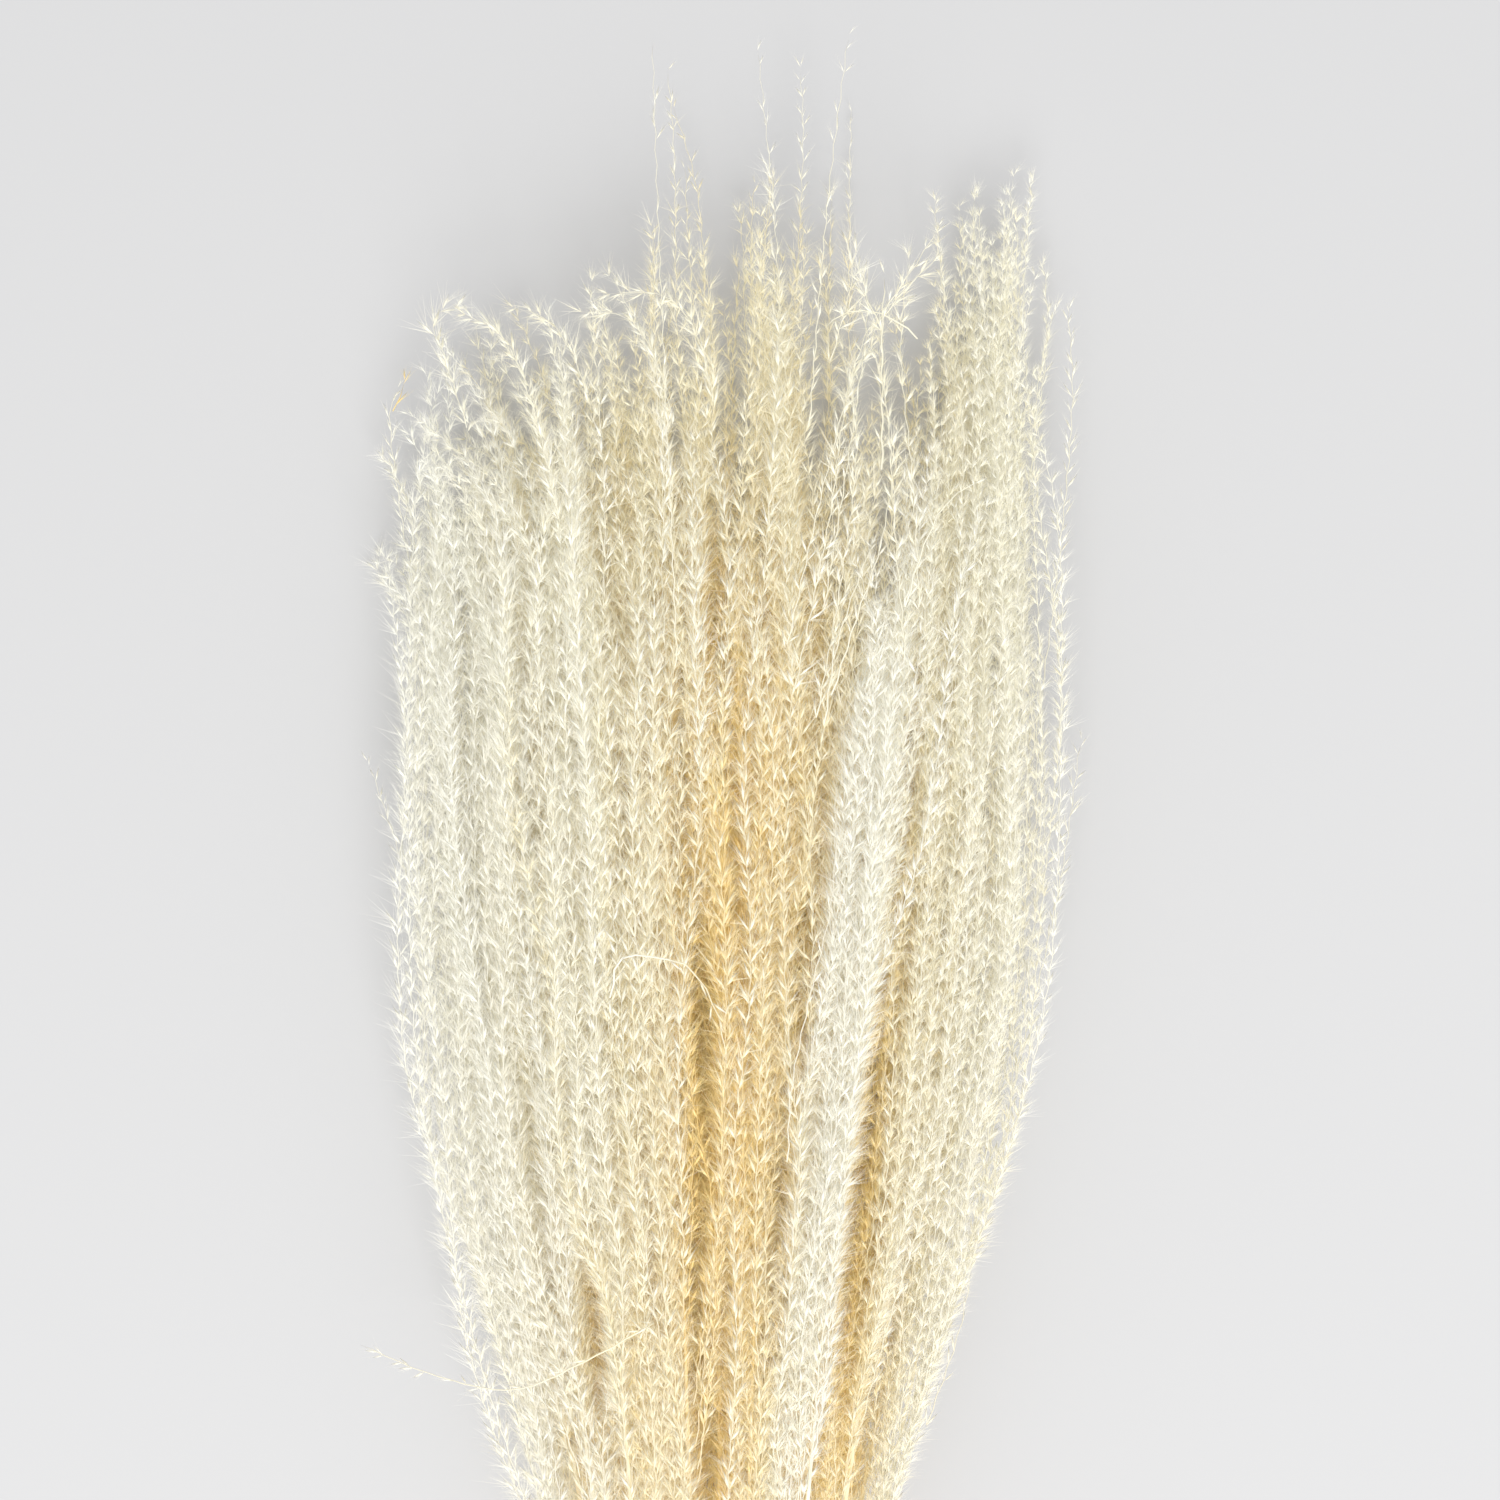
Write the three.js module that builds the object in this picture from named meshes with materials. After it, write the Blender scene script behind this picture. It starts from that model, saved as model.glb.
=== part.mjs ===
// A bunch of bleached silver-grass plumes, lying on a table, held by one elastic band.
//
// Millimetres. +Y runs from the cut ends to the tips, +Z is up and z = 0 is the table.
//
// The bunch is laid out once in "packed" space, where every stalk is a straight round rod
// on a honeycomb whose pitch is 1. layOut() then turns packed space into the real bunch:
// tight and round at the band, wide, low and flat underneath where the plumes open. The
// map never folds over itself, so rods that are clear of each other stay clear.
import * as THREE from 'three';

// ---- Driving dimensions ---------------------------------------------------------------

const BUNCH_LENGTH = 700;          // cut ends to the highest tip
const CUT_END_Y = -BUNCH_LENGTH / 2;
const BAND_Y = -270;               // middle of the elastic band
const TIED_Y = [BAND_Y - 8, BAND_Y + 8];  // the stalks run straight and close over this stretch
const WIDEST_Y = 190;              // the plumes are as wide as they get from here on
const FULL_HEIGHT_Y = 0;           // the bunch is as thick as it gets from here on
const DROOP_Y = [150, 350];        // the tips sink towards the table over this stretch
const SETTLE_Y = [TIED_Y[1], -110];       // the stalks come down from the band onto the table

const STALKS_PER_ROW = [4, 5, 6, 5, 4];   // bottom row first
const ROW_RISE = Math.sqrt(3) / 2;        // row to row in packed space

const TIED_PITCH = 4.6;            // stalk to stalk at the band
const OPEN_PITCH_X = 28.2;         // plume to plume across the table
const OPEN_PITCH_Z = 14.4;         // plume to plume in height
const OPENING_POWER = 1.4;         // above 1 the bunch opens late, below 1 early
const CUT_END_FLARE = 0.009;       // growth of the pitch below the band, per millimetre
const DROOP = 0.38;                // share of the thickness lost at the highest tip
const BOTTOM_SPREAD = 0.5;         // how much wider than even the lowest layer lies
const SPREAD_LOSS = 0.75;          // how much of that is lost from the bottom to the top

const CULM_SIDES = 6;
const CULM_STEPS = 9;
const CULM_RADIUS = 0.42;          // in tied pitches, at the cut end
const CULM_TIP_SHARE = 0.62;       // radius left under the plume
const JOINT_GAP = 0.4;             // culm top to plume base

const PLUME_SIDES = 8;
const PLUME_RADIUS = 0.465;        // in pitches, at its fullest
const PLUME_BASE_Y = -128;
const PLUME_BASE_STAGGER = 9;      // neighbours start this much higher or lower
const PLUME_OUTLINE = [            // share of the length, share of the full radius
  [0, 0.16], [0.09, 0.5], [0.2, 0.86], [0.31, 1], [0.43, 1], [0.55, 1],
  [0.67, 0.92], [0.79, 0.74], [0.89, 0.5], [0.96, 0.26], [1, 0.08],
];

// Height of the plume tips across the bunch: a broad left lobe, the tall middle, a notch,
// and a narrow right lobe. Each pair is x, y.
const TIP_LINE = [
  [-92, 262], [-76, 272], [-44, 278], [-18, 300], [2, 350], [14, 350], [26, 330],
  [36, 226], [48, 232], [62, 292], [76, 308], [92, 276],
];

const BAND_WIDTH = 6;
const BAND_THICKNESS = 1.5;
const BAND_CLEARANCE = 0.45;
const BAND_SIDES = 40;

// ---- Finishes -------------------------------------------------------------------------

const plumeFinish = () => new THREE.MeshStandardMaterial({ color: '#ece2c4', roughness: 0.95, metalness: 0 });
const culmFinish = () => new THREE.MeshStandardMaterial({ color: '#dcc48f', roughness: 0.6, metalness: 0 });
const bandFinish = () => new THREE.MeshStandardMaterial({ color: '#d9cba8', roughness: 0.7, metalness: 0 });

// ---- From packed space to the real bunch ----------------------------------------------

const { clamp, lerp, smoothstep } = THREE.MathUtils;

const PLUME_FLAT = PLUME_RADIUS * Math.cos(Math.PI / PLUME_SIDES);   // axis to flat underside
const PACKED_TOP = 2 * PLUME_FLAT + (STALKS_PER_ROW.length - 1) * ROW_RISE;
const PACKED_MIDDLE = PACKED_TOP / 2;

// 0 at the band, 1 once the bunch has opened as far as fullY.
function opening(y, fullY) {
  const share = clamp((y - TIED_Y[1]) / (fullY - TIED_Y[1]), 0, 1);
  return Math.sin(share * Math.PI / 2) ** OPENING_POWER;
}

function tiedPitch(y) {
  return TIED_PITCH * (1 + CUT_END_FLARE * Math.max(0, TIED_Y[0] - y));
}

// Moves a point of packed space, whose x and z count in pitches, to its real place.
function layOut(point) {
  const { x, y, z } = point;
  const open = opening(y, WIDEST_Y);
  const pitchX = lerp(tiedPitch(y), OPEN_PITCH_X, open);
  const droop = 1 - DROOP * smoothstep(y, ...DROOP_Y);
  const pitchZ = lerp(tiedPitch(y), OPEN_PITCH_Z * droop, opening(y, FULL_HEIGHT_Y));
  const layerSpread = 1 + open * (BOTTOM_SPREAD - SPREAD_LOSS * z / PACKED_TOP);
  const bandRadius = bandInnerRadius() + BAND_THICKNESS;
  const tiedLift = bandRadius - TIED_PITCH * PACKED_MIDDLE;
  const lift = tiedLift * (1 - smoothstep(y, ...SETTLE_Y));
  point.set(x * pitchX * layerSpread, y, lift + z * pitchZ);
}

// The band clears the outermost stalks of the tied honeycomb.
function bandInnerRadius() {
  const widestRow = Math.max(...STALKS_PER_ROW);
  const cornerReach = (widestRow - 1) / 2;
  return TIED_PITCH * (cornerReach + CULM_RADIUS) + BAND_CLEARANCE;
}

// Turns an outline of [radius, y] points round the Y axis, and lays it out around (u, v).
function turnedPiece(outline, sides, u, v) {
  const points = outline.map(([radius, y]) => new THREE.Vector2(radius, y));
  const halfSide = Math.PI / sides;
  const geometry = new THREE.LatheGeometry(points, sides, halfSide);
  const place = geometry.attributes.position;
  const point = new THREE.Vector3();
  for (let i = 0; i < place.count; i += 1) {
    point.fromBufferAttribute(place, i);
    point.x += u;
    point.z += v;
    layOut(point);
    place.setXYZ(i, point.x, point.y, point.z);
  }
  geometry.computeVertexNormals();
  return geometry;
}

// ---- Pieces ---------------------------------------------------------------------------

// Height of the tip line at x, on straight lines between its points.
function tipHeight(x) {
  const last = TIP_LINE.length - 1;
  const within = clamp(x, TIP_LINE[0][0], TIP_LINE[last][0]);
  const next = Math.max(1, TIP_LINE.findIndex(([px]) => px >= within));
  const [x0, y0] = TIP_LINE[next - 1];
  const [x1, y1] = TIP_LINE[next];
  return lerp(y0, y1, (within - x0) / (x1 - x0));
}

function plumeGeometry(u, v, baseY) {
  const fullest = new THREE.Vector3(u, WIDEST_Y, v);
  layOut(fullest);
  const tipY = tipHeight(fullest.x);
  const outline = PLUME_OUTLINE.map(([along, width]) => [PLUME_RADIUS * width, lerp(baseY, tipY, along)]);
  return turnedPiece([[0, baseY], ...outline, [0, tipY]], PLUME_SIDES, u, v);
}

// A culm keeps its real thickness while the pitch around it grows.
function culmGeometry(u, v, topY) {
  const outline = [];
  for (let step = 0; step <= CULM_STEPS; step += 1) {
    const along = step / CULM_STEPS;
    const y = lerp(CUT_END_Y, topY, along);
    const realRadius = TIED_PITCH * CULM_RADIUS * lerp(1, CULM_TIP_SHARE, along);
    const pitch = lerp(tiedPitch(y), OPEN_PITCH_Z, opening(y, FULL_HEIGHT_Y));
    outline.push([realRadius / pitch, y]);
  }
  return turnedPiece([[0, CUT_END_Y], ...outline, [0, topY]], CULM_SIDES, u, v);
}

function bandGeometry() {
  const inner = bandInnerRadius() / TIED_PITCH;
  const outer = inner + BAND_THICKNESS / TIED_PITCH;
  const low = BAND_Y - BAND_WIDTH / 2;
  const high = BAND_Y + BAND_WIDTH / 2;
  const outline = [[inner, low], [outer, low], [outer, high], [inner, high], [inner, low]];
  return turnedPiece(outline, BAND_SIDES, 0, PACKED_MIDDLE);
}

// ---- Assembly -------------------------------------------------------------------------

const bunch = new THREE.Group();

function addPiece(name, geometry, material) {
  const mesh = new THREE.Mesh(geometry, material);
  mesh.name = name;
  bunch.add(mesh);
}

let stalk = 0;
STALKS_PER_ROW.forEach((count, row) => {
  for (let column = 0; column < count; column += 1) {
    stalk += 1;
    const number = String(stalk).padStart(2, '0');
    const u = column - (count - 1) / 2;
    const v = PLUME_FLAT + row * ROW_RISE;
    const baseY = PLUME_BASE_Y + PLUME_BASE_STAGGER * ((column + row) % 3 - 1);
    addPiece(`stem_${number}`, culmGeometry(u, v, baseY - JOINT_GAP), culmFinish());
    addPiece(`plume_${number}`, plumeGeometry(u, v, baseY), plumeFinish());
  }
});
addPiece('elastic_band', bandGeometry(), bandFinish());

// The origin is on the table under the middle of the bunch.
const middle = new THREE.Box3().setFromObject(bunch).getCenter(new THREE.Vector3());
bunch.position.set(-middle.x, -middle.y, 0);

export default bunch;
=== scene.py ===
"""A tied bunch of bleached silver-grass plumes, lying on a pale table.

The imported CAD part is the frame. It holds a plain rod for each stem, a plain spindle for
each plume and a plain ring for the elastic band. Each of them is replaced here by a finer
piece on the same line: a jointed straw culm, a plume of hairy racemes, a rolled rubber band.
"""
import logging
import math
import random
from dataclasses import dataclass, field
from enum import Enum
from typing import Any, Sequence, Union

import bmesh
import bpy
import numpy as np
from mathutils import Matrix, Vector


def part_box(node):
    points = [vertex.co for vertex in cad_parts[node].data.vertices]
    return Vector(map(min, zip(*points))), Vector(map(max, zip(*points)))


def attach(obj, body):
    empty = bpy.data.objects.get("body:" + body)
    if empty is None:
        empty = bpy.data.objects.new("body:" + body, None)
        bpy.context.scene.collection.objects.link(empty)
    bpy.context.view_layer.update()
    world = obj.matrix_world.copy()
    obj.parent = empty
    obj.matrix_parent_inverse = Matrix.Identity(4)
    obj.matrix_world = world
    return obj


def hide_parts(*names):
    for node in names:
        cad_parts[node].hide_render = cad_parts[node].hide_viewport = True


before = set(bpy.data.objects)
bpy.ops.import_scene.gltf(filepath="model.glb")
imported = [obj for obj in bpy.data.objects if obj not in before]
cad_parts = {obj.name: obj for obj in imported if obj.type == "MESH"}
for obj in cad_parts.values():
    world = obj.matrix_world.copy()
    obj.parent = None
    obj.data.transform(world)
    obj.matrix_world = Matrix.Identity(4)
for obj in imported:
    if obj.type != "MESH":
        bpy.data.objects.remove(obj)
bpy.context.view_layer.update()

LOG = logging.getLogger("grass_bunch")
MM = 0.001
PALETTE_MAP = "OFBake"
THREAD_WIDTH = 0.42 * MM
THREAD_PATCH = 0.03   # how much of the palette each face of a thread shows
BODY = "root"

TUFT_SEED, STEM_SEED, PLUME_SEED = 41, 300, 700
GOLDEN_ANGLE = math.radians(137.508)
FOOT_STEP, TIP_STEP = 0.618, 0.382  # spread the feet and the tips of a plume's racemes
GATHERED_Y = (120 * MM, 270 * MM)   # a tight lobe closes up between these
THINNING_Y = (275 * MM, 330 * MM)   # the racemes grow sparser between these
PALE_TIP_Y = (110 * MM, 230 * MM)   # a honey raceme fades to pale between these
NEVER_PALE_Y = (1.0, 2.0)           # far above the tips, for a raceme that keeps its honey
ROOM_X = 99 * MM                    # the threads stay this near the middle
ROOM_Z = 66 * MM                    # and this low
EDGE_X = 108 * MM                   # no hair reaches further to the side
EDGE_Z = 73.8 * MM                  # or higher
SOFT_FLOOR = 1.2 * MM               # hairs that would reach below this lie on the table
TABLE_GAP = 2.5 * MM                # the threads stay this far above the table


# ---- Small helpers ----------------------------------------------------------------------


def ease(value: Any, start: float, end: float) -> Any:
    """A smooth step from 0 at start to 1 at end, for numbers and arrays.

    Args:
        value: the number or array to map.
        start: where the step leaves 0. It may be more than end.
        end: where the step reaches 1.

    Returns:
        The eased share, of the same shape as value.
    """
    share = np.clip((value - start) / (end - start), 0.0, 1.0)
    return share * share * (3.0 - 2.0 * share)


def even_steps(points: np.ndarray, step: float) -> np.ndarray:
    """Resamples a path so that its points are a fixed distance apart.

    Args:
        points: the path, one row per point.
        step: the distance between the new points.

    Returns:
        The new points, one row each, from the path's first point on.
    """
    lengths = np.linalg.norm(np.diff(points, axis=0), axis=1)
    travelled = np.concatenate([[0.0], np.cumsum(lengths)])
    stops = np.arange(0.0, travelled[-1], step)
    return np.stack([np.interp(stops, travelled, points[:, axis]) for axis in range(3)], axis=1)


def along_frame(origin: Vector, direction: Vector) -> Matrix:
    """A placement whose Z axis runs along a direction and whose X axis stays level.

    Args:
        origin: where the placement's own origin goes.
        direction: where its Z axis points.

    Returns:
        The 4 x 4 placement.
    """
    forward = direction.normalized()
    level = forward.cross(Vector((0.0, 0.0, 1.0)))
    side = level.normalized() if level.length > 1e-6 else Vector((1.0, 0.0, 0.0))
    up = side.cross(forward)
    turn = Matrix((side, up, forward)).transposed().to_4x4()
    return Matrix.Translation(origin) @ turn


def grow_ring(bm: bmesh.types.BMesh, edges: list) -> tuple[list, list]:
    """Extrudes a ring of edges.

    Args:
        bm: the mesh.
        edges: the ring's edges.

    Returns:
        The new ring's vertices and edges, still in the old ring's place.
    """
    grown = bmesh.ops.extrude_edge_only(bm, edges=edges)["geom"]
    ring = [item for item in grown if isinstance(item, bmesh.types.BMVert)]
    sides = [item for item in grown if isinstance(item, bmesh.types.BMEdge)]
    return ring, [side for side in sides if all(vert in ring for vert in side.verts)]


def sweep_thread(
    bm: bmesh.types.BMesh, points: np.ndarray, widths: np.ndarray, sides: int
) -> tuple[list, list]:
    """Extrudes a round section with a closed foot along a line.

    Args:
        bm: the mesh to add it to.
        points: the line.
        widths: the section's width at each point.
        sides: how many sides the section has.

    Returns:
        The vertices and edges of the last ring, which is left open.
    """
    ring = bmesh.ops.create_circle(bm, segments=sides, radius=0.5, cap_ends=True)["verts"]
    edges = list(bm.edges)
    before = Matrix.Identity(4)
    steps = np.gradient(points, axis=0)
    for k, (point, step, width) in enumerate(zip(points, steps, widths)):
        place = along_frame(Vector(point), Vector(step)) @ Matrix.Diagonal((width, width, width, 1.0))
        if k:
            ring, edges = grow_ring(bm, edges)
        bmesh.ops.transform(bm, matrix=place @ before.inverted(), verts=ring)
        before = place
    return ring, edges


def mesh_from(bm: bmesh.types.BMesh, name: str) -> bpy.types.Mesh:
    """Writes a finished bmesh to a new mesh."""
    mesh = bpy.data.meshes.new(name)
    bm.to_mesh(mesh)
    bm.free()
    return mesh


def linked(name: str, data: Any) -> bpy.types.Object:
    """A new object in the scene that shows data."""
    thing = bpy.data.objects.new(name, data)
    bpy.context.scene.collection.objects.link(thing)
    return thing


def install(mesh: bpy.types.Mesh, name: str, node: str, material: bpy.types.Material) -> None:
    """Puts a finished mesh in place of a CAD node.

    Args:
        mesh: the piece's mesh, in its final place.
        name: the piece's name.
        node: the CAD node that it replaces.
        material: its finish.
    """
    mesh.materials.append(material)
    piece = linked(name, mesh)
    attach(piece, BODY)
    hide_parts(node)
    LOG.info("%s: %d faces", piece.name, len(mesh.polygons))


# ---- Node expressions -------------------------------------------------------------------

Number = Union[float, "Value"]


class Value:
    """A number socket that takes part in Python expressions."""

    def __init__(self, graph: "Graph", socket: bpy.types.NodeSocket) -> None:
        """Wraps socket, which belongs to graph."""
        self.graph = graph
        self.socket = socket

    def _maths(self, operation: str, first: Number, second: Number) -> "Value":
        """Adds one Math node for a two-sided operation."""
        node = self.graph.node("ShaderNodeMath", {"operation": operation}, {0: first, 1: second})
        return Value(self.graph, node.outputs[0])

    def __add__(self, other: Number) -> "Value":
        """self + other."""
        return self._maths("ADD", self, other)

    __radd__ = __add__

    def __mul__(self, other: Number) -> "Value":
        """self * other."""
        return self._maths("MULTIPLY", self, other)

    __rmul__ = __mul__

    def __sub__(self, other: Number) -> "Value":
        """self - other."""
        return self._maths("SUBTRACT", self, other)

    def __rsub__(self, other: Number) -> "Value":
        """other - self."""
        return self._maths("SUBTRACT", other, self)


class Graph:
    """The node tree of one new material."""

    def __init__(self, name: str) -> None:
        """Makes a material of that name with an empty node tree."""
        self.material = bpy.data.materials.new(name)
        self.material.use_nodes = True
        self.tree = self.material.node_tree
        self.tree.nodes.clear()

    def node(self, kind: str, settings: dict[str, Any], inputs: dict[Any, Any]) -> bpy.types.Node:
        """Adds a node.

        Args:
            kind: the node's type name.
            settings: properties, set first. "stops" fills a colour ramp.
            inputs: socket name or index to a value, a Value or a socket to link.

        Returns:
            The new node.
        """
        node = self.tree.nodes.new(kind)
        for name, value in settings.items():
            if name == "stops":
                self._fill_ramp(node.color_ramp, value)
            else:
                setattr(node, name, value)
        for key, value in inputs.items():
            source = value.socket if isinstance(value, Value) else value
            if isinstance(source, bpy.types.NodeSocket):
                self.tree.links.new(source, node.inputs[key])
            else:
                node.inputs[key].default_value = source
        return node

    @staticmethod
    def _fill_ramp(ramp: bpy.types.ColorRamp, stops: Sequence[tuple[float, tuple]]) -> None:
        """Gives a ramp exactly these stops, each a position and an RGB colour."""
        while len(ramp.elements) < len(stops):
            ramp.elements.new(1.0)
        for element, (position, colour) in zip(ramp.elements, stops):
            element.position = position
            element.color = (*colour, 1.0)

    def object_point(self, scale: tuple[float, float, float]) -> bpy.types.NodeSocket:
        """Object coordinates, stretched by a Mapping node."""
        place = self.node("ShaderNodeTexCoord", {}, {})
        mapping = self.node("ShaderNodeMapping", {}, {"Vector": place.outputs["Object"], "Scale": scale})
        return mapping.outputs[0]

    def noise(self, point: bpy.types.NodeSocket, scale: float, detail: float = 2.0) -> Value:
        """A noise pattern read at a point."""
        inputs = {"Vector": point, "Scale": scale, "Detail": detail}
        return Value(self, self.node("ShaderNodeTexNoise", {}, inputs).outputs[0])

    def ramp(self, share: Value, stops: Sequence[tuple[float, tuple]]) -> bpy.types.NodeSocket:
        """A colour that runs through stops as share goes from 0 to 1."""
        return self.node("ShaderNodeValToRGB", {"stops": stops}, {0: share}).outputs[0]

    def tinted(self, colour: bpy.types.NodeSocket, tint: bpy.types.NodeSocket) -> bpy.types.NodeSocket:
        """colour multiplied by tint."""
        settings = {"data_type": "RGBA", "blend_type": "MULTIPLY"}
        node = self.node("ShaderNodeMix", settings, {0: 1.0, 6: colour, 7: tint})
        return node.outputs[2]

    def surface(self, shader: bpy.types.NodeSocket) -> bpy.types.Material:
        """Ends the tree in shader and returns the material."""
        self.node("ShaderNodeOutputMaterial", {}, {"Surface": shader})
        return self.material


# ---- Finishes ---------------------------------------------------------------------------


@dataclass(frozen=True)
class SilkyGrass:
    """Bleached grass hair and husk, coloured by its place on a palette.

    The palette map's u runs from almost white to honey gold, and its v from a cool green
    cast to a warm peach one, so the colour is a function of that map alone.
    """

    bleached: tuple = (0.998, 0.99, 0.93)
    ivory: tuple = (0.998, 0.97, 0.83)
    cream: tuple = (0.998, 0.91, 0.63)
    honey: tuple = (0.998, 0.78, 0.28)
    cool: tuple = (0.996, 0.999, 0.975)
    peach: tuple = (1.0, 0.98, 0.94)
    let_through: float = 0.4
    roughness: float = 0.62

    def material(self) -> bpy.types.Material:
        """Builds the node tree."""
        graph = Graph("silky_grass")
        place = graph.node("ShaderNodeUVMap", {"uv_map": PALETTE_MAP}, {})
        parts = graph.node("ShaderNodeSeparateXYZ", {}, {0: place.outputs[0]})
        gold = Value(graph, parts.outputs[0])
        warmth = Value(graph, parts.outputs[1])
        stops = [(0.0, self.bleached), (0.33, self.ivory), (0.66, self.cream), (1.0, self.honey)]
        base = graph.ramp(gold, stops)
        cast = graph.ramp(warmth, [(0.0, self.cool), (1.0, self.peach)])
        colour = graph.tinted(base, cast)
        inputs = {"Base Color": colour, "Roughness": self.roughness, "Specular IOR Level": 0.3}
        skin = graph.node("ShaderNodeBsdfPrincipled", {}, inputs)
        glow = graph.node("ShaderNodeBsdfTranslucent", {}, {"Color": colour})
        inputs = {0: self.let_through, 1: skin.outputs[0], 2: glow.outputs[0]}
        return graph.surface(graph.node("ShaderNodeMixShader", {}, inputs).outputs[0])


@dataclass(frozen=True)
class Straw:
    """Smooth dry culm with long fibres, darker at its joints."""

    pale: tuple = (0.80, 0.66, 0.41)
    tan: tuple = (0.60, 0.42, 0.20)
    joint: tuple = (0.46, 0.31, 0.16)
    fibre_scale: tuple = (900.0, 14.0, 900.0)
    stain_scale: tuple = (40.0, 16.0, 40.0)
    roughness: float = 0.42
    fibre_depth: float = 0.25

    def material(self) -> bpy.types.Material:
        """Builds the node tree."""
        graph = Graph("straw")
        fibres = graph.noise(graph.object_point(self.fibre_scale), 1.0)
        stain = graph.noise(graph.object_point(self.stain_scale), 1.0, 3.0)
        joints = graph.node("ShaderNodeAttribute", {"attribute_name": "joint"}, {})
        jointed = Value(graph, joints.outputs["Fac"])
        share = fibres * 0.55 + stain * 0.75 + jointed * 0.5 - 0.25
        colour = graph.ramp(share, [(0.15, self.pale), (0.75, self.tan), (1.0, self.joint)])
        relief = {"Strength": self.fibre_depth, "Distance": 0.2 * MM, "Height": fibres}
        bump = graph.node("ShaderNodeBump", {}, relief)
        inputs = {
            "Base Color": colour,
            "Roughness": fibres * 0.3 + self.roughness,
            "Normal": bump.outputs[0],
        }
        return graph.surface(graph.node("ShaderNodeBsdfPrincipled", {}, inputs).outputs[0])


@dataclass(frozen=True)
class NaturalRubber:
    """Matt buff rubber with a fine moulded grain."""

    light: tuple = (0.58, 0.41, 0.20)
    dark: tuple = (0.47, 0.32, 0.15)
    grain_scale: tuple = (600.0, 600.0, 600.0)
    roughness: float = 0.55

    def material(self) -> bpy.types.Material:
        """Builds the node tree."""
        graph = Graph("natural_rubber")
        grain = graph.noise(graph.object_point(self.grain_scale), 1.0)
        colour = graph.ramp(grain, [(0.3, self.light), (0.7, self.dark)])
        bump = graph.node("ShaderNodeBump", {}, {"Strength": 0.3, "Distance": 0.1 * MM, "Height": grain})
        inputs = {"Base Color": colour, "Roughness": self.roughness, "Normal": bump.outputs[0]}
        return graph.surface(graph.node("ShaderNodeBsdfPrincipled", {}, inputs).outputs[0])


@dataclass(frozen=True)
class PalePaint:
    """The plain table top."""

    colour: tuple = (0.402, 0.402, 0.406, 1.0)

    def material(self) -> bpy.types.Material:
        """Builds the node tree."""
        graph = Graph("pale_table")
        inputs = {"Base Color": self.colour, "Roughness": 0.9, "Specular IOR Level": 0.1}
        return graph.surface(graph.node("ShaderNodeBsdfPrincipled", {}, inputs).outputs[0])


# ---- The frame's lines ------------------------------------------------------------------


@dataclass(frozen=True)
class Spine:
    """Centre line and half widths of a CAD solid that runs along Y."""

    y: np.ndarray
    x: np.ndarray
    z: np.ndarray
    half_x: np.ndarray
    half_z: np.ndarray

    @classmethod
    def of_node(cls, node: str, samples: int = 80, window: int = 7) -> "Spine":
        """Reads the line of a CAD node from the rings of its mesh.

        Args:
            node: the node's name.
            samples: how many points the smoothed line has.
            window: how many of them are averaged to round its corners.

        Returns:
            The line, from the lowest y to the highest.
        """
        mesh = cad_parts[node].data
        flat = np.empty(len(mesh.vertices) * 3, dtype=np.float32)
        mesh.vertices.foreach_get("co", flat)
        points = flat.reshape(-1, 3).astype(float)
        levels = np.unique(points[:, 1].round(4))
        rings = [points[np.abs(points[:, 1] - level) < 0.2 * MM] for level in levels]
        lows = np.array([ring.min(axis=0) for ring in rings])
        highs = np.array([ring.max(axis=0) for ring in rings])
        middle = (lows + highs) / 2
        half = (highs - lows) / 2
        y = np.linspace(levels[0], levels[-1], samples)

        def smoothed(values: np.ndarray) -> np.ndarray:
            """Resamples values evenly and rounds off their corners."""
            even = np.interp(y, levels, values)
            padded = np.pad(even, window // 2, mode="edge")
            return np.convolve(padded, np.ones(window) / window, mode="valid")

        columns = (middle[:, 0], middle[:, 2], half[:, 0], half[:, 2])
        return cls(y, *(smoothed(column) for column in columns))

    def centre(self, y: Any) -> np.ndarray:
        """The centre line's points at y, one row each."""
        y = np.asarray(y, dtype=float)
        return np.stack([np.interp(y, self.y, self.x), y, np.interp(y, self.y, self.z)], axis=-1)

    def reach(self, y: np.ndarray) -> tuple[np.ndarray, np.ndarray]:
        """Half widths at y that never shrink again towards the tip."""
        widest_x = np.maximum.accumulate(self.half_x)
        widest_z = np.maximum.accumulate(self.half_z)
        return np.interp(y, self.y, widest_x), np.interp(y, self.y, widest_z)


class Dome:
    """The outside of the whole bunch, as a half width and a height at each y."""

    def __init__(self, spines: Sequence[Spine], samples: int = 120) -> None:
        """Takes the outline from all the plumes, at samples places along Y."""
        low, high = min(s.y[0] for s in spines), max(s.y[-1] for s in spines)
        self.y = np.linspace(low, high, samples)
        widths = []
        heights = []
        for y in self.y:
            here = [s for s in spines if s.y[0] <= y <= s.y[-1]]
            widths.append(max(abs(np.interp(y, s.y, s.x)) + np.interp(y, s.y, s.half_x) for s in here))
            heights.append(max(np.interp(y, s.y, s.z) + np.interp(y, s.y, s.half_z) for s in here))
        self.half_width = np.array(widths)
        self.height = np.array(heights)

    def depth(self, points: np.ndarray) -> np.ndarray:
        """How deep points lie: 0 at the skin and 1 at the heart, on the table."""
        across = points[:, 0] / np.interp(points[:, 1], self.y, self.half_width)
        up = points[:, 2] / np.interp(points[:, 1], self.y, self.height)
        return np.clip(1.0 - np.hypot(across, up), 0.0, 1.0)


# ---- Tufts ------------------------------------------------------------------------------


class Habit(Enum):
    """How the spikelets of a raceme sit."""

    OPEN = "open"
    CLOSED = "closed"
    WISPY = "wispy"


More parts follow.
